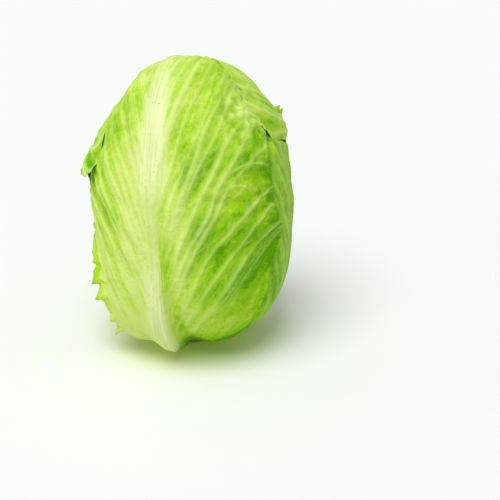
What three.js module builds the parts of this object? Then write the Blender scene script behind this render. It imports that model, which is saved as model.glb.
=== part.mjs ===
// An iceberg lettuce: a whole, slightly elongated head, cut from the ground and standing on its
// cut stem. Every leaf is a cupped, closed solid that grows from the stem near the bottom, wraps
// round one side of the head and closes over its crown. The leaves lie one over the other, from
// six wrapper leaves outside to a small heart on top of the stem.
//
// Millimetres, +Z up. The origin is the middle of the stem's cut face, which stands on the
// surface. The front of the head looks along -Y, and azimuths are counted from there towards +X.

import * as THREE from "three";

const DEGREE = Math.PI / 180;
const UP = new THREE.Vector3(0, 0, 1);
const { clamp, lerp, smoothstep } = THREE.MathUtils;

// ---------------------------------------------------------------- driving dimensions

// The face of the front wrapper leaf, which gives the head its shape: a superellipse turned about
// the axis, whose lower half (the belly) is blunter than its upper half (the crown).
const HEAD = {
  centreHeight: 101,
  beltRadius: 69.5,
  crownHeight: 99.5,
  bellyDepth: 97.8,
  crownPower: 2.05,
  bellyPower: 2.75,
};

// Broad swellings and flats that keep the head from being a turned shape: how much they add to
// the radius, the direction they point in and how far they spread, in degrees.
const SWELLINGS = [
  { rise: 2.4, polar: 154, azimuth: -62, spread: 20 },
  { rise: -4.2, polar: 140, azimuth: -92, spread: 22 },
  { rise: -3.4, polar: 150, azimuth: 80, spread: 24 },
  { rise: -4, polar: 76, azimuth: -80, spread: 28 },
  { rise: -3.4, polar: 40, azimuth: 4, spread: 11 },
  { rise: 2.2, polar: 44, azimuth: 30, spread: 15 },
  { rise: 2.4, polar: 95, azimuth: 165, spread: 30 },
  { rise: -2, polar: 60, azimuth: 205, spread: 22 },
  { rise: 1.4, polar: 159, azimuth: 112, spread: 16 },
  { rise: 1.8, polar: 124, azimuth: 96, spread: 16 },
  { rise: -2, polar: 149, azimuth: -98, spread: 13 },
];

const STEM = {
  cutRadius: 17, // the cut face that the head stands on
  bevel: 0.8,
  tipRadius: 8, // where the heart sits
  height: 54,
  taperStart: 6, // the lowest stretch is a plain cylinder
  sides: 28,
};

const WRAPPER_PITCH = 2.5; // from one wrapper leaf's face to the next one's
const INNER_COUNT = 11;
const INNER_SHRINK = 0.066; // how much smaller each inner leaf is than the one outside it
const HEART_HEIGHT = 64; // the leaves shrink towards this point of the axis
const ROOT_GAP = 0.5; // between a leaf's root and the stem
const GOLDEN_ANGLE = 137.5; // from one inner leaf to the next, as they grew

const INNER_THICKNESS = { root: 2.1, tip: 2.8 }; // crumpled towards the tip

// The outline that all leaves share, with angles in degrees.
const BLADE = {
  rootHalfAngle: 7, // half the width of a leaf where it leaves the stem
  flare: 0.7, // a power below 1: the leaf spreads quickly from its root
  broadestAt: 0.45, // the share of the leaf's length at which it is broadest
};

// What a leaf is like unless it says otherwise.
//   azimuth, breadth, reach  the midrib's azimuth, half the width, and the angle at the tip
//   drift                    how far the midrib leans sideways at the tip
//   tipShare, tipDrop        the width left at the tip, and how far its corners fall short
//   tipSlant                 how much further the tip reaches on one side
//   rise                     its face over the head's surface, at the root and from the belt up
//   rib                      how far the midrib stands out near the root
//   lobes                    stretches of margin that reach further sideways
//   frills                   stretches of margin that turn outwards in waves
//   bulges                   places where the blade stands off the leaf under it
const PLAIN_LEAF = {
  drift: 0,
  tipShare: 0.62,
  tipDrop: 20,
  tipSlant: 0,
  rib: 0,
  scale: 1,
  thickness: { root: 1.5, tip: 0.8 },
  lobes: [],
  frills: [],
  bulges: [],
};

// The wrapper leaves, outermost first.
const WRAPPERS = [
  {
    name: "wrapper_leaf_back_left",
    azimuth: -144,
    breadth: 40,
    reach: 140,
    tipShare: 0.6,
    tipDrop: 2,
    tipSlant: 22,
    rise: { root: -0.4, belt: WRAPPER_PITCH },
    rib: 2,
    rows: 20,
    columns: 16,
    lobes: [{ side: 1, at: 0.91, spread: 0.2, reach: 33 }],
    frills: [
      { side: 1, from: 0.62, to: 1, lift: 4.5, waves: 1, inset: 0.66 },
      { side: -1, from: 0.1, to: 0.95, lift: 3, waves: 4, inset: 0.8 },
    ],
  },
  {
    name: "wrapper_leaf_back_right",
    azimuth: 122,
    breadth: 25,
    reach: 167,
    tipShare: 0.8,
    tipDrop: 0,
    tipSlant: -3,
    rise: { root: 0, belt: WRAPPER_PITCH },
    rib: 2,
    rows: 20,
    columns: 14,
    lobes: [
      { side: -1, at: 0.88, spread: 0.16, reach: 16 },
      { side: -1, at: 0.6, spread: 0.12, reach: -15 },
    ],
    frills: [
      { side: -1, from: 0.78, to: 0.95, lift: 2, waves: 2, inset: 0.7 },
      { side: 1, from: 0.1, to: 0.95, lift: 3, waves: 4, inset: 0.8 },
    ],
  },
  {
    name: "wrapper_leaf_front",
    azimuth: -18,
    breadth: 76,
    reach: 190,
    drift: -12,
    rise: { root: 0, belt: 0 },
    rib: 3.2,
    rows: 24,
    columns: 20,
    lobes: [{ side: -1, at: 0.15, spread: 0.13, reach: -20 }],
    frills: [
      { side: -1, from: 0.01, to: 0.34, lift: 4, waves: 2.5, inset: 0.8 },
      { side: 1, from: 0.02, to: 0.6, lift: 1.5, waves: 2, inset: 0.8 },
    ],
    bulges: [{ rise: 8.5, polar: 36, azimuth: -54, spread: 18 }],
  },
  {
    name: "wrapper_leaf_right",
    azimuth: 72,
    breadth: 66,
    reach: 178,
    rise: { root: -1.5 * WRAPPER_PITCH, belt: -WRAPPER_PITCH },
    rib: 2,
    rows: 16,
    columns: 13,
  },
  {
    name: "wrapper_leaf_left",
    azimuth: -88,
    breadth: 70,
    reach: 176,
    rise: { root: -2.5 * WRAPPER_PITCH, belt: -2 * WRAPPER_PITCH },
    rows: 16,
    columns: 13,
  },
  {
    name: "wrapper_leaf_rear",
    azimuth: 184,
    breadth: 72,
    reach: 176,
    rise: { root: -4.3 * WRAPPER_PITCH, belt: -3.05 * WRAPPER_PITCH },
    rib: 1.6,
    rows: 16,
    columns: 13,
  },
];

// ---------------------------------------------------------------- the head's surface

function direction(polar, azimuth) {
  const p = polar * DEGREE;
  const a = azimuth * DEGREE;
  return new THREE.Vector3(Math.sin(p) * Math.sin(a), -Math.sin(p) * Math.cos(a), -Math.cos(p));
}

// What a list of swellings adds in one direction.
function swell(swellings, towards) {
  let total = 0;
  for (const { rise, polar, azimuth, spread } of swellings) {
    const off = towards.angleTo(direction(polar, azimuth)) / (spread * DEGREE);
    total += rise * Math.exp(-(off ** 2));
  }
  return total;
}

function headRadius(towards) {
  const below = towards.z < 0;
  const power = below ? HEAD.bellyPower : HEAD.crownPower;
  const reach = below ? HEAD.bellyDepth : HEAD.crownHeight;
  const across = Math.hypot(towards.x, towards.y) / HEAD.beltRadius;
  const superellipse = (across ** power + (Math.abs(towards.z) / reach) ** power) ** (-1 / power);
  return superellipse + swell(SWELLINGS, towards);
}

// The point of a leaf's face in one direction from the middle of the head, lifted outwards by
// some millimetres.
function facePoint(leaf, towards, lift = 0) {
  const polar = Math.acos(clamp(-towards.z, -1, 1)) / DEGREE;
  const rise = lerp(leaf.rise.root, leaf.rise.belt, smoothstep(polar, 18, 50));
  const heart = HEART_HEIGHT - HEAD.centreHeight;
  const point = towards.clone().multiplyScalar(headRadius(towards) + rise);
  point.z = heart + (point.z - heart) * leaf.scale;
  point.x *= leaf.scale;
  point.y *= leaf.scale;
  point.addScaledVector(towards, lift);
  point.z += HEAD.centreHeight;
  return point;
}

function stemRadiusAt(height) {
  const share = clamp((height - STEM.taperStart) / (STEM.height - STEM.taperStart), 0, 1);
  return lerp(STEM.cutRadius, STEM.tipRadius, share);
}

// ---------------------------------------------------------------- the outline of a leaf

// `along` goes from 0 at the root to 1 at the tip, and `side` from -1 to 1 across the blade. Both
// stand for angles seen from the middle of the head: up the leaf's own meridian, and off it.

// The lowest angle at which the leaf's inner face still clears the stem.
function rootAngle(leaf) {
  let low = 0;
  let high = 60;
  for (let step = 0; step < 30; step++) {
    const middle = (low + high) / 2;
    const point = facePoint(leaf, direction(middle, leaf.azimuth), -leaf.thickness.root);
    if (Math.hypot(point.x, point.y) > stemRadiusAt(point.z) + ROOT_GAP) high = middle;
    else low = middle;
  }
  return high;
}

function halfWidth(leaf, along, side) {
  const { rootHalfAngle, flare, broadestAt } = BLADE;
  const opening = Math.sin((Math.PI / 2) * clamp(along / broadestAt, 0, 1)) ** flare;
  const closing = Math.max(0, (along - broadestAt) / (1 - broadestAt)) ** 2;
  let width = rootHalfAngle + (leaf.breadth - rootHalfAngle) * opening;
  width *= 1 - (1 - leaf.tipShare) * closing;
  for (const lobe of leaf.lobes) {
    if (lobe.side * side <= 0) continue;
    width += lobe.reach * Math.exp(-(((along - lobe.at) / lobe.spread) ** 2));
  }
  return width;
}

function leafDirection(leaf, along, side) {
  const tip = leaf.reach - leaf.tipDrop * side ** 2 + leaf.tipSlant * side;
  const angle = lerp(leaf.root, tip, along) * DEGREE;
  const off = (side * halfWidth(leaf, along, side) + leaf.drift * along ** 2) * DEGREE;
  const local = new THREE.Vector3(
    Math.sin(off),
    -Math.cos(off) * Math.sin(angle),
    -Math.cos(off) * Math.cos(angle),
  );
  return local.applyAxisAngle(UP, leaf.azimuth * DEGREE);
}

// How far outside a leaf's outline a direction lies, in degrees; negative where it is covered.
function outsideOf(leaf, towards) {
  const local = towards.clone().applyAxisAngle(UP, -leaf.azimuth * DEGREE);
  const off = Math.asin(clamp(local.x, -1, 1)) / DEGREE;
  const turned = Math.atan2(-local.y, -local.z) / DEGREE;
  const angle = turned < -90 ? turned + 360 : turned;
  const along = clamp((angle - leaf.root) / (leaf.reach - leaf.root), 0, 1);
  const fromMidrib = off - leaf.drift * along ** 2;
  const beside = Math.abs(fromMidrib) - halfWidth(leaf, along, fromMidrib);
  return Math.max(beside, leaf.root - angle, angle - leaf.reach);
}

// ---------------------------------------------------------------- the relief of a leaf

// 1 where no leaf lies over this direction, falling to 0 just short of a covering leaf's edge.
function openness(towards, covering) {
  const clearance = { from: 3, to: 13 };
  return covering.reduce(
    (open, leaf) =>
      Math.min(open, smoothstep(outsideOf(leaf, towards), clearance.from, clearance.to)),
    1,
  );
}

// The midrib is a ridge near the root and sinks into the face halfway up.
function ribLift(leaf, along, side) {
  const width = 5 + 10 * along;
  const across = side * halfWidth(leaf, along, side) * DEGREE * HEAD.beltRadius;
  const fade = Math.max(0, 1 - along / 0.6) ** 2;
  return leaf.rib * fade * Math.exp(-((across / width) ** 2));
}

function frillLift(leaf, along, side) {
  let lift = 0;
  for (const frill of leaf.frills) {
    const stretch = (along - frill.from) / (frill.to - frill.from);
    if (stretch <= 0 || stretch >= 1) continue;
    const edge = Math.max(0, (side * frill.side - frill.inset) / (1 - frill.inset)) ** 1.6;
    const wave = 0.65 - 0.35 * Math.cos(2 * Math.PI * frill.waves * stretch);
    lift += frill.lift * edge * wave * Math.sin(Math.PI * stretch) ** 0.5;
  }
  return lift;
}

// ---------------------------------------------------------------- solids

// Two faces on one grid of rows and columns, closed by a rim along the leaf's edge.
function leafSolid(leaf, covering) {
  const { rows, columns, thickness } = leaf;
  const outer = [];
  const inner = [];
  for (let row = 0; row <= rows; row++) {
    const along = (row / rows) ** 1.15; // closer rows near the root, where the blade curves most
    for (let column = 0; column <= columns; column++) {
      const side = (2 * column) / columns - 1;
      const towards = leafDirection(leaf, along, side);
      const open = openness(towards, covering);
      const lift = (frillLift(leaf, along, side) + swell(leaf.bulges, towards)) * open;
      const rib = ribLift(leaf, along, side) * open;
      const depth = lerp(thickness.root, thickness.tip, Math.min(1, along * 1.6));
      outer.push(facePoint(leaf, towards, lift + rib));
      inner.push(facePoint(leaf, towards, lift - depth));
    }
  }

  const count = outer.length;
  const index = [];
  const quad = (a, b, c, d) => index.push(a, b, c, a, c, d);
  const at = (row, column) => row * (columns + 1) + column;
  for (let row = 0; row < rows; row++) {
    for (let column = 0; column < columns; column++) {
      const [a, b] = [at(row, column), at(row, column + 1)];
      const [d, c] = [at(row + 1, column), at(row + 1, column + 1)];
      quad(a, b, c, d);
      quad(a + count, d + count, c + count, b + count);
    }
  }
  const rim = [];
  for (let column = 0; column < columns; column++) rim.push(at(0, column));
  for (let row = 0; row < rows; row++) rim.push(at(row, columns));
  for (let column = columns; column > 0; column--) rim.push(at(rows, column));
  for (let row = rows; row > 0; row--) rim.push(at(row, 0));
  rim.forEach((here, step) => {
    const next = rim[(step + 1) % rim.length];
    quad(here, here + count, next + count, next);
  });

  const geometry = new THREE.BufferGeometry();
  const positions = [...outer, ...inner].flatMap((point) => point.toArray());
  geometry.setAttribute("position", new THREE.Float32BufferAttribute(positions, 3));
  geometry.setIndex(index);
  geometry.computeVertexNormals();
  return geometry;
}

function turnedSolid(profile, sides) {
  const points = profile.map(([radius, height]) => new THREE.Vector2(radius, height));
  const geometry = new THREE.LatheGeometry(points, sides);
  return geometry.rotateX(Math.PI / 2); // the lathe turns about Y
}

// A cylinder at the cut, tapering to the blunt tip that carries the heart.
function stemSolid() {
  return turnedSolid(
    [
      [0, 0],
      [STEM.cutRadius - STEM.bevel, 0],
      [STEM.cutRadius, STEM.bevel],
      [STEM.cutRadius, STEM.taperStart],
      [STEM.tipRadius, STEM.height],
      [0, STEM.height],
    ],
    STEM.sides,
  );
}

// The closed bud of the youngest leaves, a blunt egg that fills the innermost cup.
function heartSolid(innermost) {
  const foot = STEM.height + ROOT_GAP;
  const clearance = innermost.thickness.tip + 4.5 * ROOT_GAP;
  const top = facePoint(innermost, direction(180, 0), -clearance).z;
  const belt = facePoint(innermost, direction(90, 0), -clearance);
  const steps = 9;
  const profile = [
    [0, foot],
    [STEM.tipRadius * 0.7, foot],
  ];
  for (let step = 1; step < steps; step++) {
    const share = step / steps;
    const swell = Math.sin(Math.PI * lerp(0.22, 1, share)) ** 0.6;
    profile.push([Math.hypot(belt.x, belt.y) * swell, lerp(foot, top, share)]);
  }
  profile.push([0, top]);
  return turnedSolid(profile, 20);
}

// ---------------------------------------------------------------- the leaves and the group

const innerLeaves = Array.from({ length: INNER_COUNT }, (_, place) => {
  const cells = [12, 10, 8][Math.floor((3 * place) / INNER_COUNT)]; // coarser towards the heart
  const rise = -(WRAPPERS.length - 1) * WRAPPER_PITCH;
  return {
    ...PLAIN_LEAF,
    name: `inner_leaf_${String(place + 1).padStart(2, "0")}`,
    azimuth: 30 + GOLDEN_ANGLE * place,
    breadth: 86,
    reach: 192,
    tipShare: 0.8,
    rise: { root: rise, belt: rise },
    scale: 1 - INNER_SHRINK * (place + 1),
    thickness: INNER_THICKNESS,
    rows: cells,
    columns: cells,
  };
});

const leaves = [
  ...WRAPPERS.map((wrapper) => ({ ...PLAIN_LEAF, ...wrapper })),
  ...innerLeaves,
];
for (const leaf of leaves) leaf.root = rootAngle(leaf);

const freshMaterial = (colour) =>
  new THREE.MeshStandardMaterial({ color: colour, roughness: 0.5, metalness: 0 });

const MATERIALS = {
  wrapper: freshMaterial("#b5dc62"),
  inner: freshMaterial("#dfeb9b"),
  heart: freshMaterial("#e6e27c"),
  stem: freshMaterial("#e9efc4"),
};

const lettuce = new THREE.Group();
lettuce.name = "iceberg_lettuce";

function add(name, geometry, material) {
  const mesh = new THREE.Mesh(geometry, material);
  mesh.name = name;
  lettuce.add(mesh);
}

leaves.forEach((leaf, layer) => {
  const isWrapper = layer < WRAPPERS.length;
  const covering = leaves.slice(0, Math.min(layer, WRAPPERS.length));
  add(leaf.name, leafSolid(leaf, covering), isWrapper ? MATERIALS.wrapper : MATERIALS.inner);
});
add("heart", heartSolid(leaves.at(-1)), MATERIALS.heart);
add("stem", stemSolid(), MATERIALS.stem);

export default lettuce;
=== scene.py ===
# %% [markdown]
# # An iceberg lettuce, leaf by leaf
# A head of iceberg is a bud that never opens. Every leaf grows from a short white stem, cups round
# one side and closes over the crown, so that what one sees is the outside of the wrapper leaves:
# a broad pale midrib, veins that fan out from it and a crisp green blade between them. The
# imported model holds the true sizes. This lesson dresses each of its solids with a finer leaf.

import math
from functools import partial
from types import SimpleNamespace

import bpy
import numpy as np
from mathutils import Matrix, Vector, kdtree


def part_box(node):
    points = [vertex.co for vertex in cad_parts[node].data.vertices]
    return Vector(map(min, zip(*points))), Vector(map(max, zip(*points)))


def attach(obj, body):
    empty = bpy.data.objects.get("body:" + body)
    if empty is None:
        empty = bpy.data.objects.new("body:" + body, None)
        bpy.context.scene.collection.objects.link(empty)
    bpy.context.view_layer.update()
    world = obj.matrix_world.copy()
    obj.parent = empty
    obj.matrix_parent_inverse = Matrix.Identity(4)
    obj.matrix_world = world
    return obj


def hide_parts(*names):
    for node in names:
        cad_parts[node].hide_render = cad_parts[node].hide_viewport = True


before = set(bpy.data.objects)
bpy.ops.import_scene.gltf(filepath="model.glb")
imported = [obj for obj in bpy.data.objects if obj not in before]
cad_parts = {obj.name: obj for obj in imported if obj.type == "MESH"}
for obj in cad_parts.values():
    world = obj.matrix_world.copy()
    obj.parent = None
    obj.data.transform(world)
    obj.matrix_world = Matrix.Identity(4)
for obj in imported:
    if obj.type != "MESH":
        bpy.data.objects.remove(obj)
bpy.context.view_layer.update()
MM = 0.001  # the formulas below work in millimetres, Blender in metres
print("nodes in the frame:", len(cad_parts))

# %% [markdown]
# ## The round of the head
# The head isn't a ball: it is taller than wide, blunt below and a little flat here and there,
# because it grew against the ground and its own outer leaves. It could be sculpted, but every leaf
# has to lie on the next, so one formula for the distance from the middle to the surface serves
# them all. It repeats the driving sizes of the solids.

# %% The surface that all leaves lie on
CENTRE_HEIGHT = 101.0
BELT_RADIUS = 69.5
CROWN_HEIGHT, CROWN_POWER = 99.5, 2.05
BELLY_DEPTH, BELLY_POWER = 97.8, 2.75
HEART_HEIGHT = 64.0
# how much it adds, towards which polar angle and azimuth, and how far it spreads in degrees
SWELLINGS = [
    (2.4, 154, -62, 20), (-4.2, 140, -92, 22), (-3.4, 150, 80, 24), (-4, 76, -80, 28),
    (-3.4, 40, 4, 11), (2.2, 44, 30, 15), (2.4, 95, 165, 30), (-2, 60, 205, 22),
    (1.4, 159, 112, 16), (1.8, 124, 96, 16), (-2, 149, -98, 13),
]


def smoothstep(value, start, whole):
    """0 before `start` and 1 past `whole`, which may also be the lower of the two."""
    share = np.clip((value - start) / (whole - start), 0, 1)
    return share * share * (3 - 2 * share)


def mix(a, b, share):
    return a + (b - a) * share


def bell(value, centre, spread, power=2):
    """1 at the centre, falling to nothing on both sides; higher powers make a flatter top."""
    return np.exp(-(np.abs((value - centre) / spread) ** power))


def direction(polar, azimuth):
    """Polar angles start at the stem, azimuths at the front (-Y) towards +X."""
    p, a = np.radians(polar), np.radians(azimuth)
    return np.stack([np.sin(p) * np.sin(a), -np.sin(p) * np.cos(a), -np.cos(p) + 0 * a], -1)


def degrees_from(towards, polar, azimuth):
    return np.degrees(np.arccos(np.clip(towards @ direction(polar, azimuth), -1, 1)))


def spot(towards, polar, azimuth, spread):
    """1 in one direction, fading over some degrees."""
    return bell(degrees_from(towards, polar, azimuth), 0, spread)


def spots(amounts, towards):
    """The sum of some spots, each with an amount."""
    total = np.zeros(towards.shape[:-1])
    for amount, *place in amounts:
        total += amount * spot(towards, *place)
    return total


def head_radius(towards):
    below = towards[..., 2] < 0
    power = np.where(below, BELLY_POWER, CROWN_POWER)
    reach = np.where(below, BELLY_DEPTH, CROWN_HEIGHT)
    across = np.hypot(towards[..., 0], towards[..., 1]) / BELT_RADIUS
    egg = (across**power + (np.abs(towards[..., 2]) / reach) ** power) ** (-1 / power)
    return egg + spots(SWELLINGS, towards)


print("radius at the belt, mm:", round(float(head_radius(direction(90.0, 0.0))), 1))

# %% [markdown]
# ## The outline of a leaf
# A leaf unrolled is a fan: narrow where it leaves the stem, broadest below the middle, blunt at
# the tip. Wrapped, it is a patch of the head's surface. `along` goes from the root to the tip and
# `side` from one margin to the other, and both stand for angles seen from the middle of the head.
# Three of the wrapper leaves show from the front: one covers nearly all of it, one folds out in a
# flap at the left, and one closes over the shoulder at the right.

# %% The leaves' sizes
PITCH = 2.5  # from one wrapper leaf's face to the next one's
ROOT_HALF_ANGLE, FLARE, BROADEST_AT = 7.0, 0.7, 0.45
STEM_CUT, STEM_TIP, STEM_HEIGHT, STEM_TAPER, STEM_BEVEL = 17.0, 8.0, 54.0, 6.0, 0.8
ROOT_GAP = 0.5

PLAIN_LEAF = {
    "drift": 0.0, "tip_share": 0.62, "tip_drop": 20.0, "tip_slant": 0.0, "rib": 0.0, "scale": 1.0,
    "thickness": (1.5, 0.8), "lobes": [], "frills": [], "bulges": [], "pressed": [], "ruffles": [],
    "rib_paleness": 1.0, "rib_sway": 0.0, "tip_pressed": (0.0, 0.86), "rises": (0.0, 5.0),
}
# Lobes, frills and bulges mean what they do in the solids. Pressed margins and tips, ruffles,
# the paleness and sway of the rib and the degrees over which a leaf rises beside its cover only
# dress them, and the front leaf's tip reaches a little further under its neighbours.
# lobes: side, at, spread, reach; frills: side, from, to, lift, waves, inset;
# bulges: rise, polar, azimuth, spread; pressed: side, from, to, depth; tip_pressed: depth, from;
# ruffles: side, inset, and pairs of a place along the margin and how far it curls out there
WRAPPERS = [
    dict(name="wrapper_leaf_back_left", azimuth=-144, breadth=40, reach=140, tip_share=0.6,
         tip_drop=2, tip_slant=22, rise=(-0.4, PITCH), rib=2, lobes=[(1, 0.91, 0.2, 33)],
         frills=[(1, 0.62, 0.96, 4.8, 1, 0.66), (-1, 0.1, 0.95, 3, 4, 0.8)],
         pressed=[(1, -0.2, 0.58, 1.9), (1, 0.91, 1.3, 2.1)], tip_pressed=(1.9, 0.86)),
    dict(name="wrapper_leaf_back_right", azimuth=122, breadth=25, reach=167, tip_share=0.8,
         tip_drop=0, tip_slant=-3, rise=(0, PITCH), rib=2,
         lobes=[(-1, 0.88, 0.16, 16), (-1, 0.6, 0.12, -15)],
         frills=[(-1, 0.78, 0.95, 0.5, 2, 0.7), (1, 0.1, 0.95, 3, 4, 0.8)],
         pressed=[(-1, 0.93, 1.3, 2.4), (-1, -0.2, 0.8, 2.4), (-1, 0.7, 1, 2.1)],
         tip_pressed=(2.4, 0.9)),
    dict(name="wrapper_leaf_front", azimuth=-18, breadth=76, reach=192, tip_drop=10, drift=-12,
         rise=(0, 0), rib=3.2, rib_sway=5, lobes=[(-1, 0.15, 0.13, -20)],
         frills=[(1, 0.02, 0.6, 1.5, 2, 0.8)], bulges=[(6.5, 36, -54, 18)],
         tip_pressed=(1.5, 0.96), ruffles=[
             (-1, 0.8, [(0.04, 0), (0.095, 0.5), (0.105, 7), (0.113, 1), (0.121, 0), (0.129, 4),
                        (0.137, 0.5), (0.158, 1.5), (0.165, 3), (0.173, 8), (0.181, 4),
                        (0.187, 2), (0.195, 7.5), (0.206, 6.5), (0.215, 2.5), (0.226, 5.5),
                        (0.246, 4.5), (0.262, 2), (0.285, 1.5), (0.3, 0.3), (0.34, 0)]),
             (1, 0.93, [(0.05, 0), (0.15, 1.5), (0.2, 0.5), (0.27, 2), (0.5, 0)])]),
    dict(name="wrapper_leaf_right", azimuth=72, breadth=66, reach=178,
         rise=(-1.5 * PITCH, -PITCH), rib=2, rib_paleness=0.1, rises=(-1.2, 0.8)),
    dict(name="wrapper_leaf_left", azimuth=-88, breadth=70, reach=176,
         rise=(-2.5 * PITCH, -2 * PITCH)),
    dict(name="wrapper_leaf_rear", azimuth=184, breadth=72, reach=176,
         rise=(-4.3 * PITCH, -3.05 * PITCH), rib=1.6),
]
INNER = [
    dict(name=f"inner_leaf_{place + 1:02d}", azimuth=30 + 137.5 * place, breadth=86, reach=192,
         tip_share=0.8, rise=(-5 * PITCH, -5 * PITCH), scale=1 - 0.066 * (place + 1),
         thickness=(2.1, 2.8))
    for place in range(11)
]

HALVINGS = 30  # of the range in which an unknown is searched for
STACKED = (18, 50)  # polar angles between which a leaf takes its place in the stack


def face_point(leaf, towards, lift=0.0):
    """Where a leaf's face lies in a direction, lifted outwards by some millimetres."""
    polar = np.degrees(np.arccos(np.clip(-towards[..., 2], -1, 1)))
    rise = mix(*leaf.rise, smoothstep(polar, *STACKED))
    point = towards * (head_radius(towards) + rise)[..., None]
    heart = np.array([0, 0, HEART_HEIGHT - CENTRE_HEIGHT])
    point = heart + (point - heart) * leaf.scale
    return point + towards * np.asarray(lift)[..., None] + np.array([0, 0, CENTRE_HEIGHT])


def crossing(low, high, past):
    """Where `past` turns true between two values, which may be arrays."""
    for _ in range(HALVINGS):
        middle = (low + high) / 2
        low, high = np.where(past(middle), (low, middle), (middle, high))
    return high


def root_angle(leaf):
    """The lowest angle at which the leaf's inner face still clears the stem."""
    def clear(angle):
        x, y, z = face_point(leaf, direction(angle, leaf.azimuth), -leaf.thickness[0])
        share = np.clip((z - STEM_TAPER) / (STEM_HEIGHT - STEM_TAPER), 0, 1)
        return math.hypot(x, y) > mix(STEM_CUT, STEM_TIP, share) + ROOT_GAP

    return float(crossing(0.0, 60.0, clear))


WRAPPERS, INNER = ([SimpleNamespace(**{**PLAIN_LEAF, **leaf}) for leaf in leaves]
                   for leaves in (WRAPPERS, INNER))
for leaf in WRAPPERS + INNER:
    leaf.root = root_angle(leaf)
FRONT = WRAPPERS[2]
print("roots leave the stem at", [round(leaf.root, 1) for leaf in WRAPPERS], "degrees")

# %% From the flat leaf to the head and back


def half_width(leaf, along, side):
    opening = np.sin(np.pi / 2 * np.clip(along / BROADEST_AT, 0, 1)) ** FLARE
    closing = np.maximum(0, (along - BROADEST_AT) / (1 - BROADEST_AT)) ** 2
    width = ROOT_HALF_ANGLE + (leaf.breadth - ROOT_HALF_ANGLE) * opening
    width = width * (1 - (1 - leaf.tip_share) * closing)
    for lobe_side, at, spread, reach in leaf.lobes:
        width = width + np.where(side * lobe_side > 0, reach * bell(along, at, spread), 0)
    return width


def plane_angles(leaf, along, side):
    """Degrees off the leaf's own meridian, and up it."""
    tip = leaf.reach - leaf.tip_drop * side**2 + leaf.tip_slant * side
    off = side * half_width(leaf, along, side) + leaf.drift * along**2
    return off, mix(leaf.root, tip, along)


def turned(vectors, degrees):
    c, s = math.cos(math.radians(degrees)), math.sin(math.radians(degrees))
    x, y, z = np.moveaxis(vectors, -1, 0)
    return np.stack([c * x - s * y, s * x + c * y, z], -1)


def towards_of(leaf, off, angle):
    off, angle = np.radians(off), np.radians(angle)
    local = [np.sin(off), -np.cos(off) * np.sin(angle), -np.cos(off) * np.cos(angle)]
    return turned(np.stack(local, -1), leaf.azimuth)


def outside_of(leaf, towards):
    """How far outside a leaf's outline a direction lies, in degrees; negative where covered."""
    local = turned(towards, -leaf.azimuth)
    off = np.degrees(np.arcsin(np.clip(local[..., 0], -1, 1)))
    angle = np.degrees(np.arctan2(-local[..., 1], -local[..., 2]))
    angle = np.where(angle < -90, angle + 360, angle)
    along = np.clip((angle - leaf.root) / (leaf.reach - leaf.root), 0, 1)
    from_midrib = off - leaf.drift * along**2
    beside = np.abs(from_midrib) - half_width(leaf, along, from_midrib)
    return np.maximum.reduce([beside, leaf.root - angle, angle - leaf.reach])


print("front leaf, half width at the belt:", round(float(half_width(FRONT, 0.45, 1.0))), "degrees")

# %% [markdown]
# ## Chance
# Nothing on a leaf is quite regular. A lattice of random heights, smoothly joined, gives an even
# unevenness that is the same on every run. Blender's noise would do too, one point at a time.

# %% Smooth random heights
LATTICE = 64  # points each way before the heights repeat


def lattice_noise(u, v, seed):
    """Values from -1 to 1 that change over about one unit of u and v."""
    heights = np.random.default_rng(seed).uniform(-1, 1, (LATTICE, LATTICE))
    i, j = np.floor(u).astype(int), np.floor(v).astype(int)
    along_u, along_v = smoothstep(u - i, 0, 1), smoothstep(v - j, 0, 1)
    i, j, next_i, next_j = (n % LATTICE for n in (i, j, i + 1, j + 1))
    near = mix(heights[i, j], heights[next_i, j], along_u)
    far = mix(heights[i, next_j], heights[next_i, next_j], along_u)
    return mix(near, far, along_v)


print("a few heights:", lattice_noise(np.arange(3) * 0.4, np.zeros(3), 1).round(2))

# %% [markdown]
# ## Veins
# In lettuce the midrib is a bundle of many strands. They run side by side up the middle, and the
# outer ones leave it first and swing away to the margin, each a little steeper than the last, so
# the leaf looks like a fan. The strands could be drawn one by one as curves. Here one formula gives
# the whole fan, `strand` 1 for the outermost strand and 0 for the innermost, and solving it
# backwards tells every point of the blade which strand it belongs to. The fine streaks follow that
# number, and a few strong strands are the side veins.

# %% The fan of strands
MM_PER_DEGREE = math.radians(1) * 75.0  # on the head's mean radius
LEAF_LENGTH = 230.0
RIB_HALF = 9.0  # half the width of the midrib's flat bundle at mid height


def rib_half_width(along):
    return RIB_HALF * mix(0.5, 1.0, smoothstep(along, 0, 0.35)) * mix(
        1.0, 0.55, smoothstep(along, 0.6, 1))


def strand_side(leaf, strand, along):
    """The share of the half width that a strand has reached at `along`."""
    leaves_at = 1 - strand
    band = rib_half_width(along) / (half_width(leaf, along, 0) * MM_PER_DEGREE)
    swing = 0.85 + 2.7 * np.exp(-np.maximum(leaves_at, -0.12) / 0.11)
    return band * strand * 0.8 + swing * np.maximum(0, along - leaves_at) ** 1.12


def strand_of(leaf, along, side):
    """The strand that passes a place, past 1 beyond the outermost."""
    def outside(strand):
        return strand_side(leaf, strand, along) > np.abs(side)

    return crossing(np.zeros_like(side), np.full_like(side, 1.6), outside)


print("width of the midrib at mid height, mm:", 2 * rib_half_width(0.5))

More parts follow.
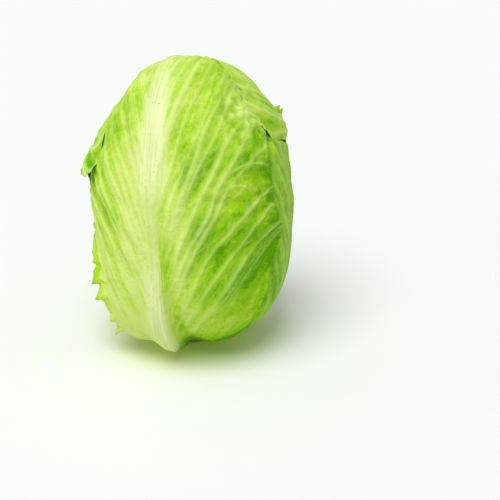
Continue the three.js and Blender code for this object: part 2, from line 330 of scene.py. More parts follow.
# %% The veins' courses
SIDE_VEINS = [0.015, 0.04, 0.07, 0.1, 0.14, 0.18, 0.22, 0.27, 0.32, 0.38, 0.44, 0.5, 0.57, 0.65,
              0.74]  # where along the leaf the strong ones leave the midrib
VEIN_POINTS = 330  # on a side vein as long as the leaf
BARE_ROOT, BARE_END = 30, 12  # how many of them carry no branches, at the root and the margin
BRANCH_EVERY = (9, 17)  # how many lie between two branches
BRANCH_TURN = (18, 42)  # degrees off the vein
BRANCH_LENGTH, BRANCH_STEP = (12, 38), 0.8  # mm, and from point to point


def side_vein(leaf, side, leaves_at, rng):
    """The course of one strong strand, as off and up angles, a point every millimetre or so."""
    along = np.linspace(max(0.005, leaves_at - 0.2), 1, VEIN_POINTS)
    reached = strand_side(leaf, 1 - leaves_at, along)
    wander = lattice_noise(along * 8, 0 * along + leaves_at * 9, int(rng.integers(1000)))
    reached = reached * (1 + 0.09 * wander)
    keep = reached < 1.0
    return plane_angles(leaf, along[keep], side * reached[keep])


def branch(off, angle, heading, length, bend):
    """A side branch that sets off at an angle and bends back towards the tip."""
    course = []
    for _ in range(int(length / BRANCH_STEP)):
        off += BRANCH_STEP / MM_PER_DEGREE * math.sin(heading)
        angle += BRANCH_STEP / MM_PER_DEGREE * math.cos(heading)
        heading *= bend
        course.append((off, angle))
    return np.array(course).T


def branches_of(off, angle, width, rng):
    """Branches to both sides in turn, thinner the further out they leave their vein."""
    share = np.linspace(0, 1, len(off))
    branches, hand = [], 1
    for start in range(BARE_ROOT, len(off) - BARE_END, int(rng.integers(*BRANCH_EVERY))):
        hand = -hand
        ahead = math.atan2(off[start + 1] - off[start], angle[start + 1] - angle[start])
        turn = hand * math.radians(rng.uniform(*BRANCH_TURN))
        length = rng.uniform(*BRANCH_LENGTH) * (1 - 0.4 * share[start])
        side_off, side_angle = branch(off[start], angle[start], ahead + turn, length,
                                      rng.uniform(0.965, 0.995))
        taper = np.linspace(0.85, 0.3, len(side_off)) * width[start] ** 0.3
        branches.append(np.stack([side_off, side_angle, taper, 0 * taper + 1]))
    return branches


def vein_network(leaf, starts, seed):
    """Points of all veins: off, up, half width in mm, and order (0 for strong, 1 for branches)."""
    rng = np.random.default_rng(seed)
    points = []
    for side in (-1, 1):
        for leaves_at in starts:
            leaves_at += rng.uniform(-0.018, 0.018)
            off, angle = side_vein(leaf, side, leaves_at, rng)
            if len(off) < 8:
                continue
            share = np.linspace(0, 1, len(off))
            strength = rng.uniform(0.5, 1.15)
            uneven = 1 + 0.3 * lattice_noise(share * 9, 0 * share, int(rng.integers(1000)))
            width = strength * uneven * mix(2.7, 0.95, share**0.7) * smoothstep(share, -0.1, 0.12)
            points.append(np.stack([off, angle, width, 0 * off]))
            points += branches_of(off, angle, width, rng)
    return np.concatenate(points, 1)


def vein_masks(leaf, network, towards):
    """How much of a strong vein, and of a branch, each place is: a crest with a soft foot."""
    places = face_point(leaf, towards).reshape(-1, 3)
    masks = []
    for order in (0, 1):
        off, angle, width, _ = network[:, network[3] == order]
        course = face_point(leaf, towards_of(leaf, off, angle))
        tree = kdtree.KDTree(len(course))
        for number, point in enumerate(course):
            tree.insert(point, number)
        tree.balance()
        nearest, away = np.array([tree.find(place)[1:] for place in places]).T
        half = width[nearest.astype(int)]
        mask = np.clip(half, 0, 1.2) * mix(bell(away, 0, half), bell(away, 0, 2.2 * half), 0.35)
        masks.append(mask.reshape(towards.shape[:-1]))
    return masks


print("strong side veins on each half of a leaf:", len(SIDE_VEINS))

# %% [markdown]
# ## Relief
# Seen from outside, the veins stand proud and the blade between them is drawn in or puffed out.
# Where the leaf ran out of room it is creased, and its free margins curl outwards in teeth and
# waves. A displacement modifier could push a plain surface about, but margins that curl need real
# geometry, so all of it is added to the height of the leaf over the head.

# %% Cover and margins


def openness(towards, covering, rises):
    """0 where a leaf lies over a place, rising to 1 from one to another distance off its edge."""
    free = np.ones(towards.shape[:-1])
    for leaf in covering:
        free = np.minimum(free, smoothstep(outside_of(leaf, towards), *rises))
    return free


def eased(value, places, heights):
    """Heights at some places joined by smooth steps."""
    after = np.clip(np.searchsorted(places, value), 1, len(places) - 1)
    return mix(heights[after - 1], heights[after],
               smoothstep(value, places[after - 1], places[after]))


def frill_lift(leaf, along, side, seed):
    """Margins that turn outwards in the broad waves of the solid, roughened."""
    lift = np.zeros_like(side)
    length = along * LEAF_LENGTH
    for frill_side, start, end, height, waves, inset in leaf.frills:
        stretch = np.clip((along - start) / (end - start), 0, 1)
        edge = np.maximum(0, (side * frill_side - inset) / (1 - inset))
        wave = 0.65 - 0.35 * np.cos(2 * np.pi * waves * stretch)
        ruffle = 1 + 0.55 * lattice_noise(length / 7, edge, seed + 1)
        lift += height * edge**1.6 * wave * ruffle * np.sin(np.pi * stretch) ** 0.5
    for ruffle_side, inset, curl in leaf.ruffles:
        places, heights = np.array(curl).T
        edge = np.maximum(0, (side * ruffle_side - inset) / (1 - inset))
        uneven = 1 + 0.3 * lattice_noise(length / 2.1, 2 * edge, seed + 2)
        height = eased(along - 0.014 * (1 - edge), places, heights)
        crimp = 1.2 * lattice_noise(length / 3.2, 2.5 * edge, seed + 3) * smoothstep(edge, 0, 0.4)
        lift += height * uneven * edge**1.5 + crimp * np.minimum(1, height / 2)
    return lift


def pressed_lift(leaf, along, side):
    """How far the margins and the tip are pressed onto the leaf below, and the share of it."""
    depth, start = leaf.tip_pressed
    lift = depth * smoothstep(along, start, 1)
    for pressed_side, start, end, depth in leaf.pressed:
        held = smoothstep(along, start, start + 0.07) * smoothstep(along, end, end - 0.07)
        lift = np.maximum(lift, depth * held * smoothstep(side * pressed_side, 0.72, 1))
    return -lift, np.minimum(1, lift / 1.9)


def margin_reach(along, side, seed):
    """The uneven outline of the margin, as a share of the half width."""
    length = along * LEAF_LENGTH
    notches = 0.02 * lattice_noise(length / 9, np.sign(side) * 3, seed)
    notches += 0.012 * lattice_noise(length / 2.4, np.sign(side) * 3, seed + 1)
    return side * (1 + notches * smoothstep(np.abs(side), 0.85, 1))


def rib_lift(leaf, along, side):
    width = 5 + 10 * along
    across = side * half_width(leaf, along, side) * math.radians(1) * BELT_RADIUS
    fade = np.maximum(0, 1 - along / 0.6) ** 2
    return leaf.rib * fade * bell(across, 0, width)


print("height of the front rib at its root:", float(rib_lift(FRONT, np.zeros(1), np.zeros(1))[0]))

# %% [markdown]
# ## The mesh of a leaf
# A real leaf is a sheet of about a millimetre that thins to its margin, so the mesh is a grid of
# two faces and a rim: an outer one with all the relief, and an inner one that follows it. The
# columns crowd towards the margins, where the curl is. Each vertex also keeps what the finish
# needs to know about its place: how much of a vein or midrib it is, how green the blade is there
# and how near the margin, and a pair of coordinates that follow the strands.

# %% Grid and mesh
# rows from root to tip and columns from margin to margin
FRONT_GRID, WRAPPER_GRID, INNER_GRID = (280, 172), (170, 120), (60, 56)
MASKS = ("strong_vein", "branch_vein", "midrib", "greenness", "margin")
LEAF_UVS = ("strands", "blade")  # one follows the strands, one lies flat on the blade
UV_MM = 100.0  # millimetres to one unit of them


def leaf_grid(rows, columns):
    across = np.linspace(-1, 1, columns + 1)
    side = np.sign(across) * (1 - (1 - np.abs(across)) ** 1.25)
    along = np.linspace(0, 1, rows + 1) ** 1.1
    return np.meshgrid(along, side, indexing="ij")


def shell_faces(rows, columns):
    """Quads of the outer grid, of the inner grid, and of the rim between them."""
    count = (rows + 1) * (columns + 1)
    ids = np.arange(count).reshape(rows + 1, columns + 1)
    a, b, c, d = ids[:-1, :-1], ids[:-1, 1:], ids[1:, 1:], ids[1:, :-1]
    outer = np.stack([a, b, c, d], -1).reshape(-1, 4)
    inner = np.stack([a, d, c, b], -1).reshape(-1, 4) + count
    ring = np.concatenate([ids[0, :-1], ids[:-1, -1], ids[-1, :0:-1], ids[:0:-1, 0]])
    after = np.roll(ring, -1)
    rim = np.stack([ring, ring + count, after + count, after], -1)
    return np.concatenate([outer, inner, rim]).tolist()


def add_object(name, data):
    thing = bpy.data.objects.new(name, data)
    bpy.context.scene.collection.objects.link(thing)
    return thing


def add_mesh(name, points, faces, material):
    mesh = bpy.data.meshes.new(name)
    mesh.from_pydata(points, [], faces)
    mesh.materials.append(material)
    return add_object(name, mesh)


def add_piece(node, points, faces, material):
    """A smooth mesh that stands for one solid of the frame."""
    piece = add_mesh("dressed_" + node, (points * MM).tolist(), faces, material)
    piece.data.shade_smooth()
    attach(piece, "root")
    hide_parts(node)
    return piece


def both_faces(values):
    """What the outer face keeps, and the same again for the inner face."""
    return np.tile(values.ravel(), 2).astype(np.float32)


def keep_masks(piece, masks):
    """The numbers per vertex that the finish reads."""
    for name, values in zip(MASKS, masks):
        layer = piece.data.attributes.new(name, "FLOAT", "POINT")
        layer.data.foreach_set("value", values)


def keep_uv(piece, name, u, v):
    layer = piece.data.uv_layers.new(name=name)
    loops = np.empty(len(piece.data.loops), int)
    piece.data.loops.foreach_get("vertex_index", loops)
    both = np.stack([both_faces(u), both_faces(v)], -1)
    layer.data.foreach_set("uv", both[loops].ravel())


print("faces of the front leaf:", len(shell_faces(*FRONT_GRID)))

# %% [markdown]
# ## Finishes
# Lettuce is wax over water: a thin cuticle with an index near 1.43, satin rather than glossy, over
# crisp wet tissue that lets light bleed a millimetre or two. The blade is never one green. It is
# mottled, darker where it had sun, streaked along the strands and webbed by the finest veins,
# which are paler because they hold no green. Those are separate patterns laid over each other,
# each at its own real size.

# %% Colour and node helpers
# settings that many nodes share
TIMES, TIMES_PLUS, PLUS = ({"operation": name} for name in ("MULTIPLY", "MULTIPLY_ADD", "ADD"))
LARGER, LENGTH = {"operation": "MAXIMUM"}, {"operation": "LENGTH"}
COLOURS = {"data_type": "RGBA"}
SMOOTHLY = {"interpolation_type": "SMOOTHSTEP"}


def srgb(code):
    """A hex colour as linear values."""
    parts = [int(code[i:i + 2], 16) / 255 for i in (1, 3, 5)]
    return [p / 12.92 if p <= 0.04045 else ((p + 0.055) / 1.055) ** 2.4 for p in parts] + [1.0]


def add_node(tree, kind, settings=None, values=None, **links):
    """A node with its settings, socket values and links.

    Sockets go by name, links with _ for a space, or by number where names repeat: `i0` is the
    first. A link comes from a socket, or from a node, which gives its first output in use.
    """
    node = tree.nodes.new("ShaderNode" + kind)
    for key, value in (settings or {}).items():
        setattr(node, key, value)
    sockets = {socket.name: socket for socket in list(node.inputs)[::-1] if socket.enabled}
    sockets.update(enumerate(node.inputs))
    for key, value in (values or {}).items():
        sockets[key].default_value = value
    for key, source in links.items():
        if hasattr(source, "outputs"):
            source = next(socket for socket in source.outputs if socket.enabled)
        key = int(key[1:]) if key[1:].isdigit() else key.replace("_", " ")
        tree.links.new(source, sockets[key])
    return node


def cleared(tree):
    """Empty a tree, and give what adds nodes to it."""
    tree.nodes.clear()
    return partial(add_node, tree)


def new_material(name):
    material = bpy.data.materials.new(name)
    material.use_nodes = True
    return material, cleared(material.node_tree)


def finished(material, add, shader):
    add("OutputMaterial", Surface=shader)
    print(material.name, "has", len(material.node_tree.nodes), "nodes")
    return material


def set_ramp(node, stops):
    ramp = node.color_ramp
    while len(ramp.elements) > 1:
        ramp.elements.remove(ramp.elements[0])
    for number, (place, code) in enumerate(stops):
        stop = ramp.elements[0] if number == 0 else ramp.elements.new(place)
        stop.position, stop.color = place, srgb(code)


print("pale midrib, linear:", [round(v, 3) for v in srgb("#e2f2a6")[:3]])

# %% The leaf finish
MOTTLE_MM = 9.0  # patches of deeper and paler green
FLECK_MM = 3.0  # flecks in them
WEB_MM = 3.2  # the mesh of the finest veins; half as wide on a real leaf, too fine to show
WEB_BENDS_PER_MM, WEB_SWAY_MM = 0.22, 1.6  # how often and how far that mesh strays
PUCKER_MM = 1.6  # cells of the blade between them
STREAK_MM = 0.9  # strands in the midrib
PIT_MM = 6.0  # from one rubbed pore of the midrib to the next


def leaf_noises(add, place):
    """The patterns of the leaf, each at its own size and along its own coordinates."""
    strands, blade = (add("UVMap", {"uv_map": name}) for name in LEAF_UVS)
    noises = {}
    for pattern, over, scale, detail, rough in (
        ("mottle", place, (1 / (MOTTLE_MM * MM),) * 3, 3.0, 0.6),
        ("fleck", place, (1 / (FLECK_MM * MM),) * 3, 2.0, 0.6),
        ("pucker", place, (1 / (PUCKER_MM * MM),) * 3, 2.0, 0.5),
        ("patch", strands, (15.0, 3.5, 1.0), 2.0, 0.5),
        ("streak", strands, (46.0, 5.0, 1.0), 3.0, 0.6),
        ("rib_streak", blade, (UV_MM / STREAK_MM, 2.0, 1.0), 2.0, 0.65),
        ("rib_patch", blade, (26.0, 2.6, 1.0), 2.0, 0.5),
    ):
        scaled = add("Mapping", None, {"Scale": scale}, Vector=over)
        values = {"Scale": 1.0, "Detail": detail, "Roughness": rough}
        noises[pattern] = add("TexNoise", None, values, Vector=scaled)
    return noises


def leaf_material(name, blade, vein, rib, rib_shade):
    """Waxed leaf: `blade` holds the greens from pale to deep."""
    material, add = new_material(name)
    place = add("TexCoord").outputs["Object"]
    masks = {key: add("Attribute", {"attribute_name": key}).outputs["Fac"] for key in MASKS}
    noises = leaf_noises(add, place)
    bent = add("TexNoise", None, {"Scale": WEB_BENDS_PER_MM / MM, "Detail": 1.0}, Vector=place)
    wavy = add("VectorMath", TIMES_PLUS, {1: (WEB_SWAY_MM * MM,) * 3}, i0=bent.outputs["Color"],
               i2=place)
    cell = add("TexVoronoi", {"feature": "DISTANCE_TO_EDGE"}, {"Scale": 1 / (WEB_MM * MM)},
               Vector=wavy)
    web = add("MapRange", None, {"From Max": 0.16, "To Min": 1.0, "To Max": 0.0}, Value=cell)
    pore = add("TexVoronoi", None, {"Scale": 1 / (PIT_MM * MM)}, Vector=wavy)
    pit = add("MapRange", SMOOTHLY,
              {"From Min": 0.07, "From Max": 0.15, "To Min": 0.55, "To Max": 0.0}, Value=pore)

    # the green: the noises lie round a half, so a half of each amount is taken off again
    amounts = {"mottle": 0.7, "patch": 0.95, "streak": 1.05, "fleck": 0.3}
    depth = add("Math", PLUS, {1: -0.5 * sum(amounts.values())}, i0=masks["greenness"])
    patterns = [(noises[key], amount) for key, amount in amounts.items()]
    for pattern, amount in patterns + [(masks["margin"], 0.2), (web, -0.12)]:
        depth = add("Math", TIMES_PLUS, {1: amount}, i0=pattern, i2=depth)
    green = add("ValToRGB", Fac=depth)
    set_ramp(green, blade)

    # the veins over it, broken up by the streaks
    fine = add("Math", TIMES, {1: 0.75}, i0=masks["branch_vein"])
    both = add("Math", LARGER, i0=masks["strong_vein"], i1=fine)
    uneven = add("Math", TIMES, {1: 1.45}, i0=noises["streak"])
    veining = add("Math", {**TIMES, "use_clamp": True}, i0=both, i1=uneven)
    veined = add("Mix", COLOURS, {"B": srgb(vein)}, Factor=veining, A=green)

    # the midrib over both, from its dark pores and gaps to its pale strands
    strands = add("Math", PLUS, i0=noises["rib_streak"], i1=noises["rib_patch"])
    strands = add("Math", TIMES_PLUS, {1: 1.7, 2: -0.92}, i0=strands)
    strands = add("Math", {"operation": "SUBTRACT", "use_clamp": True}, i0=strands, i1=pit)
    ribs = add("Mix", COLOURS, {"A": srgb(rib_shade), "B": srgb(rib)}, Factor=strands)
    colour = add("Mix", COLOURS, Factor=masks["midrib"], A=veined, B=ribs)

    rib_height = add("Math", TIMES, i0=noises["rib_streak"], i1=masks["midrib"])
    height = add("Math", TIMES, {1: 0.4}, i0=rib_height)
    for pattern, amount in ((web, 0.35), (noises["pucker"], 0.5), (noises["streak"], 0.9)):
        height = add("Math", TIMES_PLUS, {1: amount}, i0=pattern, i2=height)
    bump = add("Bump", None, {"Strength": 0.55, "Distance": 0.5 * MM}, Height=height)
    rough = add("Math", TIMES_PLUS, {1: 0.2, 2: 0.46}, i0=noises["mottle"])
    shader = add("BsdfPrincipled", None, {
        "IOR": 1.43, "Specular IOR Level": 0.06, "Subsurface Weight": 0.15,
        "Subsurface Radius": (1.6 * MM, 2 * MM, 0.6 * MM), "Subsurface Scale": 1.0,
    }, Base_Color=colour, Roughness=rough, Normal=bump)
    return finished(material, add, shader)


# The wrapper's blade reads as fresh and crisp: yellow green where it is thin, deep green where
# the sun reached it and as painted shade in folds and hollows, with pale veins and a rib that is
# nearly white along its crest, partly a painted highlight.
WRAPPER_FINISH = leaf_material(
    "wrapper leaf, waxy and sun green",
    [(0.0, "#dcee8c"), (0.25, "#c9e860"), (0.5, "#acd92c"), (0.75, "#90ca12"), (0.9, "#7aba06"),
     (1.0, "#64a800")],
    vein="#e2f594", rib="#faffcc", rib_shade="#c4e070")
# The inner leaves never saw light. They look like cream with a breath of green, so that any gap
# between the wrappers shows something tender and lighter behind.
INNER_FINISH = leaf_material(
    "inner leaf, blanched by the leaves round it",
    [(0.0, "#f0f4c4"), (0.4, "#e6f0a4"), (0.8, "#d3e67c"), (1.0, "#bddc60")],
    vein="#f3f6d2", rib="#f8f9e2", rib_shade="#e6eebb")

# %% [markdown]
# ## The leaves
# Every leaf goes through the same steps, so one function makes them all: place the grid, find the
# veins, add up the relief, close the shell and note what the finish needs. Leaves under others
# keep close to the head wherever they are covered, or they would break through.

# %% Make one leaf


def nothing(place):
    return 0.0


def unchanged(place, strength):
    return strength


def greenness_of(along, side, veins):
    """Deeper green away from the midrib and in the sun, paler at the blanched base."""
    green = 0.25 + 0.17 * smoothstep(np.abs(side), 0.05, 0.7)
    return green - 0.12 * smoothstep(along, 0.3, 0) - 0.2 * veins


def make_leaf(leaf, covering, grid, finish, slot, seed, veins=SIDE_VEINS, puff=1.4,
              extra_lift=nothing, extra_green=nothing, change_veins=unchanged,
              change_rib=unchanged):
    """Dress the solid of one leaf. The last four arguments are what only some leaves do."""
    along, side = leaf_grid(*grid)
    off, angle = plane_angles(leaf, along, margin_reach(along, side, seed + 8))
    towards = towards_of(leaf, off, angle)
    across_mm, along_mm = off * MM_PER_DEGREE, angle * MM_PER_DEGREE
    from_rib = (off - leaf.drift * along**2) * MM_PER_DEGREE
    place = SimpleNamespace(along=along, side=side, left=-side, from_rib=from_rib,
                            towards=towards)

    network = vein_network(leaf, veins, seed)
    strong, branches = vein_masks(leaf, network, towards)
    branches = branches * change_veins(place, np.ones_like(side))
    strong = change_veins(place, strong)
    swayed = from_rib - leaf.rib_sway * smoothstep(along, 0.6, 0.9)
    band = bell(swayed, 0, rib_half_width(along), 4)
    midrib = band * (1 - 0.85 * smoothstep(along, 0.74, 0.94)) * leaf.rib_paleness
    midrib = change_rib(place, midrib)

    free = openness(towards, covering, leaf.rises)
    lift = frill_lift(leaf, along, side, seed) + spots(leaf.bulges, towards)
    lift = (lift + rib_lift(leaf, along, side)) * free
    down, pressed = pressed_lift(leaf, along, side)
    strand = strand_of(leaf, along, side)
    signed = np.sign(side) * strand
    puffed = puff * lattice_noise(signed * 13, along_mm / 24, seed + 5) * (1 - 0.7 * band)
    fine = 0.3 * puff * lattice_noise(signed * 30, along_mm / 10, seed + 6) * (1 - band)
    fine = fine * (1 - 0.8 * smoothstep(strand, 0.7, 0.9))
    relief = 0.95 * strong + 0.45 * branches + puffed + fine + 0.5 * band + extra_lift(place)
    edge = smoothstep(np.abs(side), 0.93, 1)
    relief = relief * mix(0.15, 1, free) * (1 - 0.6 * edge) * (1 - 0.8 * pressed) + down
    margin_thin = mix(1, 0.45, smoothstep(np.abs(side), 0.75, 1))
    depth = mix(*leaf.thickness, np.minimum(1, along * 1.6)) * margin_thin
    outer = face_point(leaf, towards, lift + relief)
    inner = face_point(leaf, towards, lift + mix(0.4, 1, pressed) * relief - depth)
    outer[..., 2] = np.maximum(outer[..., 2], 0.2)  # a margin that reaches the table lies on it
    inner[..., 2] = np.maximum(inner[..., 2], 0.6)

    points = np.concatenate([outer, inner]).reshape(-1, 3)
    piece = add_piece(leaf.name, points, shell_faces(*grid), finish)
    green = greenness_of(along, side, np.maximum(strong, midrib)) + extra_green(place)
    margin = smoothstep(np.abs(side), 0.86, 1) * (1 - pressed)
    keep_masks(piece, map(both_faces, (strong, branches, midrib, green, margin)))
    for name, across in zip(LEAF_UVS, (signed, across_mm / UV_MM)):
        keep_uv(piece, name, across, along_mm / UV_MM)
    print(f"{leaf.name}: {2 * len(piece.data.polygons)} triangles, "
          f"{network.shape[1]} vein points")


# %% Zones of the front wrapper leaf
KNOT = (147, 49)  # where the front leaf ran out of room, at the corner of the shoulder leaf
# heading in degrees round the knot, half width and length in degrees of the head
KNOT_RAYS = [(8, 1.2, 11), (62, 1.7, 15), (104, 1.1, 10), (141, 1.5, 19), (187, 1.8, 15),
             (229, 1.2, 19), (262, 1.6, 14), (312, 1.3, 11)]
# the centre of an arc, its radius, its middle and half its length, all in degrees
CREASES = [(92.4, 35.4, 32.4, 124.8, 34.9, 13), (101.8, 24.7, 14.5, 116.3, 25.7, 9)]


def zone(place, **limits):
    """1 in a zone of the leaf and 0 outside it, with soft borders.

    Each measure has where the zone starts along it and where it is whole, and, if it ends again,
    where it stops being whole and where it is gone.
    """
    share = 1.0
    for measure, (start, whole, *end) in limits.items():
        value = getattr(place, measure)
        share = share * smoothstep(value, start, whole)
        if end:
            share = share * (1 - smoothstep(value, *end))
    return share


def knot_ridges(towards):
    """Pale ridges that meet in the knot, as the rays of a star."""
    centre = direction(*KNOT)
    across = np.cross(centre, [0, 0, 1.0])
    across = across / np.linalg.norm(across)
    x, y = towards @ across, towards @ np.cross(centre, across)
    away, round_it = np.degrees(np.hypot(x, y)), np.arctan2(y, x)
    bent = round_it + 0.35 * lattice_noise(away / 6, 2 * round_it + 9, 73)
    rays = np.zeros_like(away)
    for heading, width, length in KNOT_RAYS:
        off = np.abs((bent - math.radians(heading) + np.pi) % (2 * np.pi) - np.pi) * away
        rays = np.maximum(rays, bell(off, 0, width) * bell(away, 0, length))
    return rays * (towards @ centre > 0)


def creases(towards):
    """Thin pale arcs where the blade once buckled."""
    ridges = np.zeros(towards.shape[:-1])
    for polar, azimuth, radius, mid_polar, mid_azimuth, half_length in CREASES:
        arc = bell(degrees_from(towards, polar, azimuth), radius, 0.7)
        stretch = bell(degrees_from(towards, mid_polar, mid_azimuth), 0, half_length, 4)
        ridges = np.maximum(ridges, 0.6 * arc * stretch)
    return ridges


def beside_keel(place):
    """1 in the fold that runs up the right of the midrib's root."""
    return zone(place, along=(0.3, 0.12)) * bell(place.from_rib, 7, 4.4, 2.5)


def right_of_keel(place):
    """1 on the shaded side of the midrib's lower half, nearer to its middle at the foot."""
    near_foot = place.from_rib + 5 * zone(place, along=(0.11, 0))
    return smoothstep(near_foot, 2, 4.2) * zone(place, from_rib=(17, 9), along=(0.5, 0.38))


print("rays from the knot:", len(KNOT_RAYS), "and creases:", len(CREASES))

# %% The front wrapper leaf
# how much the side veins fade, and in which zone
FADED = [
    (0.8, dict(along=(0.34, 0.16), side=(0.03, 0.14))),  # the blanched base, to the right
    (0.7, dict(along=(0.5, 0.2), left=(0.05, 0.2))),  # and to the left
    (0.55, dict(along=(0.55, 0.34), side=(0.45, 0.75))),  # low on the right margin
    (0.65, dict(along=(0.55, 0.75), left=(0.02, 0.12))),  # the left of the crown
    (0.26, dict(side=(0.12, 0.3))),  # the right half
]
# how much greener the blade is, and in which zone; the right half is greener partly as painted
# shade
GREENER = [
    (0.21, dict(side=(0.03, 0.25))),  # the right half
    (0.16, dict(side=(0.5, 0.8))),  # its margin
    (0.2, dict(side=(0.1, 0.3), along=(0.55, 0.4))),  # its lower part
    (0.15, dict(left=(0.08, 0.35), along=(0.25, 0.5))),  # the left half
    (0.06, dict(left=(0.12, 0.3), along=(0.55, 0.75))),  # its upper part
    (-0.24, dict(along=(0.26, 0.11))),  # the bleached base
    (-0.14, dict(along=(0.46, 0.34), left=(0.05, 0.15, 0.8, 0.92))),  # higher up on the left
    # painted shade in the fold at the foot
    (0.6, dict(along=(0.14, 0.05), from_rib=(-2, 1, 12, 20))),  # the fold at the foot
]
# patches of deeper green, or paler where the amount is negative, where the blade saw more sun;
# some are painted shade: under the left flap, in a hollow of the ruffles and along the bottom rim;
# amount, polar, azimuth, spread
SUN_AND_PAINTED_SHADE = [(0.8, 113, -77, 6), (0.1, 138, 61, 7), (0.3, 155, 62, 6), (0.4, 115, 86, 12),
          (0.2, 136, -60, 6), (0.3, 121, 1, 6), (0.4, 131, 4, 9), (0.5, 153, -45, 12),
          (0.2, 107, 8, 11), (0.1, 139, -45, 8), (0.4, 57, -76, 6), (0.3, 97, 12, 7),
          (0.2, 88, 6, 7), (-0.24, 49, 6, 12), (-0.25, 160, -50, 7), (0.45, 27, 12, 7),
          (0.5, 29, 32, 8), (-0.16, 138, -47, 10)]


def front_rib(place, midrib):
    """Palest along the crest, and greener where the strands begin to part and at their sides. The
    pale crest high up is partly a painted highlight, and the keel's right side is painted shade.
    """
    from_rib = place.from_rib
    # painted highlight: high up the crest stays palest and its sides less so
    crown = zone(place, along=(0.55, 0.7)) * (1 - bell(from_rib, 4, 6))
    parting = zone(place, along=(0.24, 0.4, 0.54, 0.64)) * mix(0.92, 0.42, bell(from_rib, 0.5, 2.2))
    return midrib * (1 - right_of_keel(place)) * (1 - 0.42 * crown) * (1 - parting)


def front_veins(place, strength):
    """Weak at the blanched base, none in the fold and weaker under the painted shade right of the
    keel, with the ridges of the knot.
    """
    for amount, limits in FADED:
        strength = strength * (1 - amount * zone(place, **limits))
    parting = zone(place, along=(0.22, 0.36, 0.52, 0.62)) * bell(place.from_rib, 4, 8, 4)
    strength = strength * (1 - 0.75 * parting) * (1 - 0.65 * right_of_keel(place))
    return np.maximum.reduce([strength, knot_ridges(place.towards), creases(place.towards)])


def front_lift(place):
    """A keel at the rib's root with a fold beside it, and creases round the knot."""
    along, side, from_rib = place.along, place.side, place.from_rib
    low = zone(place, along=(0.03, 0.13, 0.14, 0.42))
    off = from_rib - 1 - smoothstep(along, 0.05, 0.15)
    keel = 4.4 * low * bell(off, 0, np.where(off > 0, 2.4, 6), 1.4)
    foot = zone(place, along=(0.16, 0.07)) * bell(off, 0, 14, 4)
    keel = keel - np.where(off > 0, 4, 2) * foot * (1 - bell(off, 0, 3))
    fold = 4.5 * beside_keel(place) * mix(0.35, 1, smoothstep(along, 0, 0.09))
    fold = fold + 1.6 * low * bell(from_rib, -13, 5)
    from_knot = degrees_from(place.towards, *KNOT)
    rings = 1.1 * np.sin(from_knot * 1.1) * bell(from_knot, 0, 14)
    crumple = 1.5 * lattice_noise(side * 8, along * 19, 71)
    crumple = crumple + 0.7 * lattice_noise(side * 19, along * 44, 72)
    crumpled = 0.35 + 0.65 * zone(place, side=(0.15, 0.45), along=(0.3, 0.55))
    return keel - fold + rings + crumple * crumpled * smoothstep(np.abs(from_rib), 8, 22)


def front_green(place):
    # painted shade: deeper green in the fold beside the keel and on the keel's shaded right side
    green = 0.35 * beside_keel(place) + 0.12 * right_of_keel(place)
    middle = zone(place, along=(0.16, 0.3, 0.48, 0.62)) * bell(place.from_rib, 4, 9, 4)
    green = green + 0.12 * middle + spots(SUN_AND_PAINTED_SHADE, place.towards)
    return green + sum(amount * zone(place, **limits) for amount, limits in GREENER)


make_leaf(FRONT, WRAPPERS[:2], FRONT_GRID, WRAPPER_FINISH, "wrapper_leaf", 11,
          extra_lift=front_lift, extra_green=front_green, change_veins=front_veins,
          change_rib=front_rib)

# %% The other wrapper leaves
# an amount all over the leaf, and how much more in some spots: amount, polar, azimuth, spread
SUNNY = 0.22, [(0.2, 112, -85, 14), (0.1, 138, 80, 12)]  # outermost leaves saw the most sun
TORN = 0, [(5.5, 137, 93, 1.1), (4.5, 134, 97, 1), (1.5, 134, 96, 3)]  # teeth at a pinch
FILLED = 2.2, [(1.2, 133, 80, 9), (1.3, 133, 64, 4), (1.4, 127, 76, 4)]  # up to the front leaf
# where light shines through past the front leaf's margin: a little yellower, with fainter veins
DEEP = 0.66, [(-0.16, 108, 86, 18)]
FAINT = 0.33, [(-0.22, 108, 86, 18)]


def varied(amount, rows):
    return lambda place: amount + spots(rows, place.towards)


def shoulder_veins(place, strength):
    return np.maximum(0.7 * strength, knot_ridges(place.towards))


def right_veins(place, strength):
    return strength * varied(*FAINT)(place)


EXTRAS = {
    "wrapper_leaf_back_left": dict(extra_green=varied(*SUNNY)),
    "wrapper_leaf_back_right": dict(
        extra_green=varied(*SUNNY), extra_lift=varied(*TORN), change_veins=shoulder_veins),
    "wrapper_leaf_right": dict(
        extra_green=varied(*DEEP), extra_lift=varied(*FILLED), change_veins=right_veins),
}
for number, leaf in enumerate(WRAPPERS):
    if leaf is not FRONT:
        make_leaf(leaf, WRAPPERS[:number], WRAPPER_GRID, WRAPPER_FINISH, "wrapper_leaf",
                  20 + number, **EXTRAS.get(leaf.name, {}))

# %% The inner leaves
for number, leaf in enumerate(INNER):
    make_leaf(leaf, [], INNER_GRID, INNER_FINISH, "inner_leaf", 40 + number,
              veins=SIDE_VEINS[::2], puff=0.7)

# %% [markdown]
# ## The heart and the stem
# On top of the stem sits the bud of the youngest leaves, yellow and tightly crumpled. The stem
# itself is a cone of white pith. It was cut in the field, and the cut bled latex that dried to
# a rusty film, strongest at the rind.

# %% The stem's finish
FIBRES_PER_MM = (0.9, 0.9, 0.09)  # fine across the stem and ten times as long along it
BLOTCHES_PER_MM = 0.26  # in the rusty film


